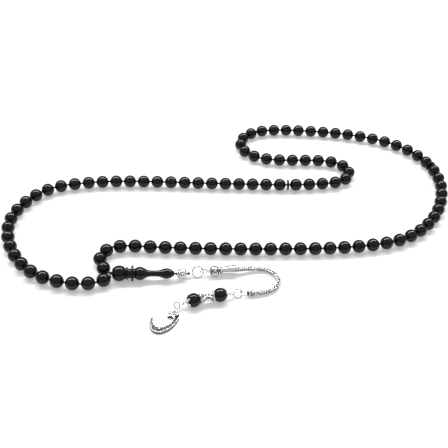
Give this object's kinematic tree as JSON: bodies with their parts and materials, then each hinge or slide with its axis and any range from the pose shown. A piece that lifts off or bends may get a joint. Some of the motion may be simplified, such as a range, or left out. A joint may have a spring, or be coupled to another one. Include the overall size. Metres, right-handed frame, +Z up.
{
  "type": "prayer beads",
  "caption": "Loop of round black prayer beads on a thread, with disc dividers, a turned imame and a silver tassel that ends in a crescent and star.",
  "frame": {"origin": "on the table at the middle of the object's own bounding box", "axes": "+Z up from the table, +X from left to right along the loop and from the imame's head to its tip, +Y away from the tassel"},
  "size_m": [0.2101, 0.1537, 0.0068],
  "materials": {
    "jet_bead": "polished black",
    "imame_jet": "turned and polished black",
    "tassel_jet": "polished black",
    "thread": "waxed black thread",
    "oxidised_silver": "silver with darkened recesses",
    "chain_silver": "silver links",
    "polished_silver": "polished silver"
  },
  "bodies": {
    "string": {"thread": "thread", "beads_11_to_33": "jet_bead", "beads_34_to_66": "jet_bead", "beads_67_to_89": "jet_bead"},
    "imame": {"imame": "imame_jet"},
    "tail": {"tail_thread": "thread", "knot": "thread", "thread_eye": "polished_silver"},
    "filigree_ball": {"filigree_ball": "oxidised_silver"},
    "ring_1": {"ring_1": "polished_silver"},
    "link": {"link": "polished_silver"},
    "bell": {"cap_ball": "oxidised_silver", "collar": "oxidised_silver", "bell": "polished_silver", "chain_01": "chain_silver"},
    "chain_02": {"chain_02": "chain_silver"},
    "chain_03": {"chain_03": "chain_silver"},
    "chain_04": {"chain_04": "chain_silver"},
    "chain_05": {"chain_05": "chain_silver"},
    "chain_06": {"chain_06": "chain_silver"},
    "chain_07": {"chain_07": "chain_silver"},
    "chain_08": {"chain_08": "chain_silver"},
    "chain_09": {"chain_09": "chain_silver"},
    "chain_end": {"chain_10": "chain_silver", "end_cap": "chain_silver"},
    "ring_2": {"ring_2": "polished_silver"},
    "pin": {"head_pin": "polished_silver", "flower_cap_1": "polished_silver", "flower_cap_2": "polished_silver"},
    "tassel_bead_1": {"tassel_bead_1": "tassel_jet"},
    "spacer": {"spacer": "oxidised_silver"},
    "tassel_bead_2": {"tassel_bead_2": "tassel_jet"},
    "small_ring_1": {"small_ring_1": "polished_silver"},
    "small_ring_2": {"small_ring_2": "polished_silver"},
    "pendant": {"star": "polished_silver", "crescent": "polished_silver"},
    "divider_1": {"divider_1": "jet_bead"},
    "divider_2": {"divider_2": "jet_bead"},
    "bead_01": {"bead_01": "jet_bead"},
    "bead_02": {"bead_02": "jet_bead"},
    "bead_03": {"bead_03": "jet_bead"},
    "bead_04": {"bead_04": "jet_bead"},
    "bead_05": {"bead_05": "jet_bead"},
    "bead_06": {"bead_06": "jet_bead"},
    "bead_07": {"bead_07": "jet_bead"},
    "bead_08": {"bead_08": "jet_bead"},
    "bead_09": {"bead_09": "jet_bead"},
    "bead_10": {"bead_10": "jet_bead"},
    "bead_90": {"bead_90": "jet_bead"},
    "bead_91": {"bead_91": "jet_bead"},
    "bead_92": {"bead_92": "jet_bead"},
    "bead_93": {"bead_93": "jet_bead"},
    "bead_94": {"bead_94": "jet_bead"},
    "bead_95": {"bead_95": "jet_bead"},
    "bead_96": {"bead_96": "jet_bead"},
    "bead_97": {"bead_97": "jet_bead"},
    "bead_98": {"bead_98": "jet_bead"},
    "bead_99": {"bead_99": "jet_bead"}
  },
  "joints": [
    {"name": "imame_swing", "type": "hinge", "parent": "string", "child": "imame", "pos_m": [-0.0513, -0.0462, 0.0034], "axis": [0, 0, -1], "range_deg": [-2, 8]},
    {"name": "tail_swing", "type": "hinge", "parent": "imame", "child": "tail", "pos_m": [-0.02515, -0.0446, 0.0034], "axis": [0, 0, -1], "range_deg": [-1, 20]},
    {"name": "ring_1_swing", "type": "hinge", "parent": "tail", "child": "ring_1", "pos_m": [-0.01767, -0.04192, 0.0021], "axis": [0, 0, -1], "range_deg": [-2, 25]},
    {"name": "link_swing", "type": "hinge", "parent": "ring_1", "child": "link", "pos_m": [-0.01295, -0.04138, 0.0021], "axis": [0, 0, -1], "range_deg": [-2, 25]},
    {"name": "bell_swing", "type": "hinge", "parent": "link", "child": "bell", "pos_m": [-0.0108, -0.04107, 0.0021], "axis": [0, 0, -1], "range_deg": [-2, 25]},
    {"name": "chain_02_bend", "type": "hinge", "parent": "bell", "child": "chain_02", "pos_m": [0.00108, -0.03919, 0.00235], "axis": [0, 0, 1], "range_deg": [-1, 16]},
    {"name": "chain_03_bend", "type": "hinge", "parent": "chain_02", "child": "chain_03", "pos_m": [0.00538, -0.0379, 0.00201], "axis": [0, 0, 1], "range_deg": [-1, 16]},
    {"name": "chain_04_bend", "type": "hinge", "parent": "chain_03", "child": "chain_04", "pos_m": [0.0097, -0.03678, 0.00143], "axis": [0, 0, 1], "range_deg": [-1, 16]},
    {"name": "chain_05_bend", "type": "hinge", "parent": "chain_04", "child": "chain_05", "pos_m": [0.01419, -0.03687, 0.00114], "axis": [0, 0, 1], "range_deg": [-1, 16]},
    {"name": "chain_06_bend", "type": "hinge", "parent": "chain_05", "child": "chain_06", "pos_m": [0.0179, -0.03941, 0.00112], "axis": [0, 0, 1], "range_deg": [-1, 16]},
    {"name": "chain_07_bend", "type": "hinge", "parent": "chain_06", "child": "chain_07", "pos_m": [0.01959, -0.04358, 0.00112], "axis": [0, 0, 1], "range_deg": [-1, 16]},
    {"name": "chain_08_bend", "type": "hinge", "parent": "chain_07", "child": "chain_08", "pos_m": [0.01835, -0.04791, 0.00115], "axis": [0, 0, 1], "range_deg": [-1, 16]},
    {"name": "chain_09_bend", "type": "hinge", "parent": "chain_08", "child": "chain_09", "pos_m": [0.01482, -0.0507, 0.00126], "axis": [0, 0, 1], "range_deg": [-1, 16]},
    {"name": "chain_10_bend", "type": "hinge", "parent": "chain_09", "child": "chain_end", "pos_m": [0.01052, -0.05201, 0.00135], "axis": [0, 0, 1], "range_deg": [-1, 16]},
    {"name": "ring_2_swing", "type": "hinge", "parent": "chain_end", "child": "ring_2", "pos_m": [0.00392, -0.0528, 0.0016], "axis": [0, 0, -1], "range_deg": [-25, 25]},
    {"name": "pin_swing", "type": "hinge", "parent": "ring_2", "child": "pin", "pos_m": [0.00048, -0.05384, 0.0016], "axis": [0, 0, -1], "range_deg": [-25, 25]},
    {"name": "small_ring_1_swing", "type": "hinge", "parent": "pin", "child": "small_ring_1", "pos_m": [-0.02147, -0.06155, 0.0018], "axis": [0, 0, -1], "range_deg": [-25, 20]},
    {"name": "small_ring_2_swing", "type": "hinge", "parent": "small_ring_1", "child": "small_ring_2", "pos_m": [-0.0227, -0.06256, 0.00083], "axis": [0, 0, -1], "range_deg": [-25, 20]},
    {"name": "pendant_swing", "type": "hinge", "parent": "small_ring_2", "child": "pendant", "pos_m": [-0.0227, -0.06361, 0.001], "axis": [0, 0, -1], "range_deg": [-25, 20]},
    {"name": "filigree_spin", "type": "hinge", "parent": "tail", "child": "filigree_ball", "pos_m": [-0.02515, -0.0446, 0.0034], "axis": [0.9066, 0.33, -0.2631], "continuous": true},
    {"name": "spacer_spin", "type": "hinge", "parent": "pin", "child": "spacer", "pos_m": [-0.00527, -0.05587, 0.003], "axis": [-0.9426, -0.3338, 0], "continuous": true},
    {"name": "tassel_bead_1_spin", "type": "hinge", "parent": "pin", "child": "tassel_bead_1", "pos_m": [-0.00527, -0.05587, 0.003], "axis": [-0.9426, -0.3338, 0], "continuous": true},
    {"name": "tassel_bead_2_spin", "type": "hinge", "parent": "pin", "child": "tassel_bead_2", "pos_m": [-0.01606, -0.05969, 0.003], "axis": [-0.9426, -0.3338, 0], "continuous": true},
    {"name": "turn_divider_1", "type": "hinge", "parent": "string", "child": "divider_1", "pos_m": [0.09965, 0.04573, 0.003], "axis": [-0.3466, 0.938, 0], "continuous": true},
    {"name": "turn_divider_2", "type": "hinge", "parent": "string", "child": "divider_2", "pos_m": [0.02549, 0.02382, 0.003], "axis": [-0.9973, -0.0734, 0], "continuous": true},
    {"name": "turn_bead_01", "type": "hinge", "parent": "string", "child": "bead_01", "pos_m": [-0.05556, -0.04287, 0.003], "axis": [-0.6164, 0.7874, 0], "continuous": true},
    {"name": "turn_bead_02", "type": "hinge", "parent": "string", "child": "bead_02", "pos_m": [-0.05792, -0.03692, 0.003], "axis": [-0.0926, 0.9957, 0], "continuous": true},
    {"name": "turn_bead_03", "type": "hinge", "parent": "string", "child": "bead_03", "pos_m": [-0.05595, -0.03117, 0.003], "axis": [0.6845, 0.729, 0], "continuous": true},
    {"name": "turn_bead_04", "type": "hinge", "parent": "string", "child": "bead_04", "pos_m": [-0.05039, -0.02808, 0.003], "axis": [0.9805, 0.1965, 0], "continuous": true},
    {"name": "turn_bead_05", "type": "hinge", "parent": "string", "child": "bead_05", "pos_m": [-0.04379, -0.02743, 0.003], "axis": [1, -0.0004, 0], "continuous": true},
    {"name": "turn_bead_06", "type": "hinge", "parent": "string", "child": "bead_06", "pos_m": [-0.03711, -0.02746, 0.003], "axis": [1, -0.0091, 0], "continuous": true},
    {"name": "turn_bead_07", "type": "hinge", "parent": "string", "child": "bead_07", "pos_m": [-0.03044, -0.02743, 0.003], "axis": [0.9998, 0.0194, 0], "continuous": true},
    {"name": "turn_bead_08", "type": "hinge", "parent": "string", "child": "bead_08", "pos_m": [-0.02377, -0.02727, 0.003], "axis": [0.9996, 0.0269, 0], "continuous": true},
    {"name": "turn_bead_09", "type": "hinge", "parent": "string", "child": "bead_09", "pos_m": [-0.0171, -0.02706, 0.003], "axis": [0.9994, 0.0353, 0], "continuous": true},
    {"name": "turn_bead_10", "type": "hinge", "parent": "string", "child": "bead_10", "pos_m": [-0.01044, -0.0268, 0.003], "axis": [0.9991, 0.0435, 0], "continuous": true},
    {"name": "turn_bead_90", "type": "hinge", "parent": "string", "child": "bead_90", "pos_m": [-0.10065, -0.02517, 0.003], "axis": [0.3052, -0.9523, 0], "continuous": true},
    {"name": "turn_bead_91", "type": "hinge", "parent": "string", "child": "bead_91", "pos_m": [-0.09819, -0.03135, 0.003], "axis": [0.4347, -0.9006, 0], "continuous": true},
    {"name": "turn_bead_92", "type": "hinge", "parent": "string", "child": "bead_92", "pos_m": [-0.0949, -0.03714, 0.003], "axis": [0.5499, -0.8352, 0], "continuous": true},
    {"name": "turn_bead_93", "type": "hinge", "parent": "string", "child": "bead_93", "pos_m": [-0.09081, -0.04238, 0.003], "axis": [0.6771, -0.7359, 0], "continuous": true},
    {"name": "turn_bead_94", "type": "hinge", "parent": "string", "child": "bead_94", "pos_m": [-0.08588, -0.04684, 0.003], "axis": [0.8006, -0.5992, 0], "continuous": true},
    {"name": "turn_bead_95", "type": "hinge", "parent": "string", "child": "bead_95", "pos_m": [-0.08012, -0.0501, 0.003], "axis": [0.9259, -0.3777, 0], "continuous": true},
    {"name": "turn_bead_96", "type": "hinge", "parent": "string", "child": "bead_96", "pos_m": [-0.07376, -0.05201, 0.003], "axis": [0.9807, -0.1956, 0], "continuous": true},
    {"name": "turn_bead_97", "type": "hinge", "parent": "string", "child": "bead_97", "pos_m": [-0.06716, -0.05296, 0.003], "axis": [0.996, -0.0892, 0], "continuous": true},
    {"name": "turn_bead_98", "type": "hinge", "parent": "string", "child": "bead_98", "pos_m": [-0.06058, -0.05255, 0.003], "axis": [0.9776, 0.2106, 0], "continuous": true},
    {"name": "turn_bead_99", "type": "hinge", "parent": "string", "child": "bead_99", "pos_m": [-0.05449, -0.05008, 0.003], "axis": [0.8472, 0.5313, 0], "continuous": true}
  ]
}
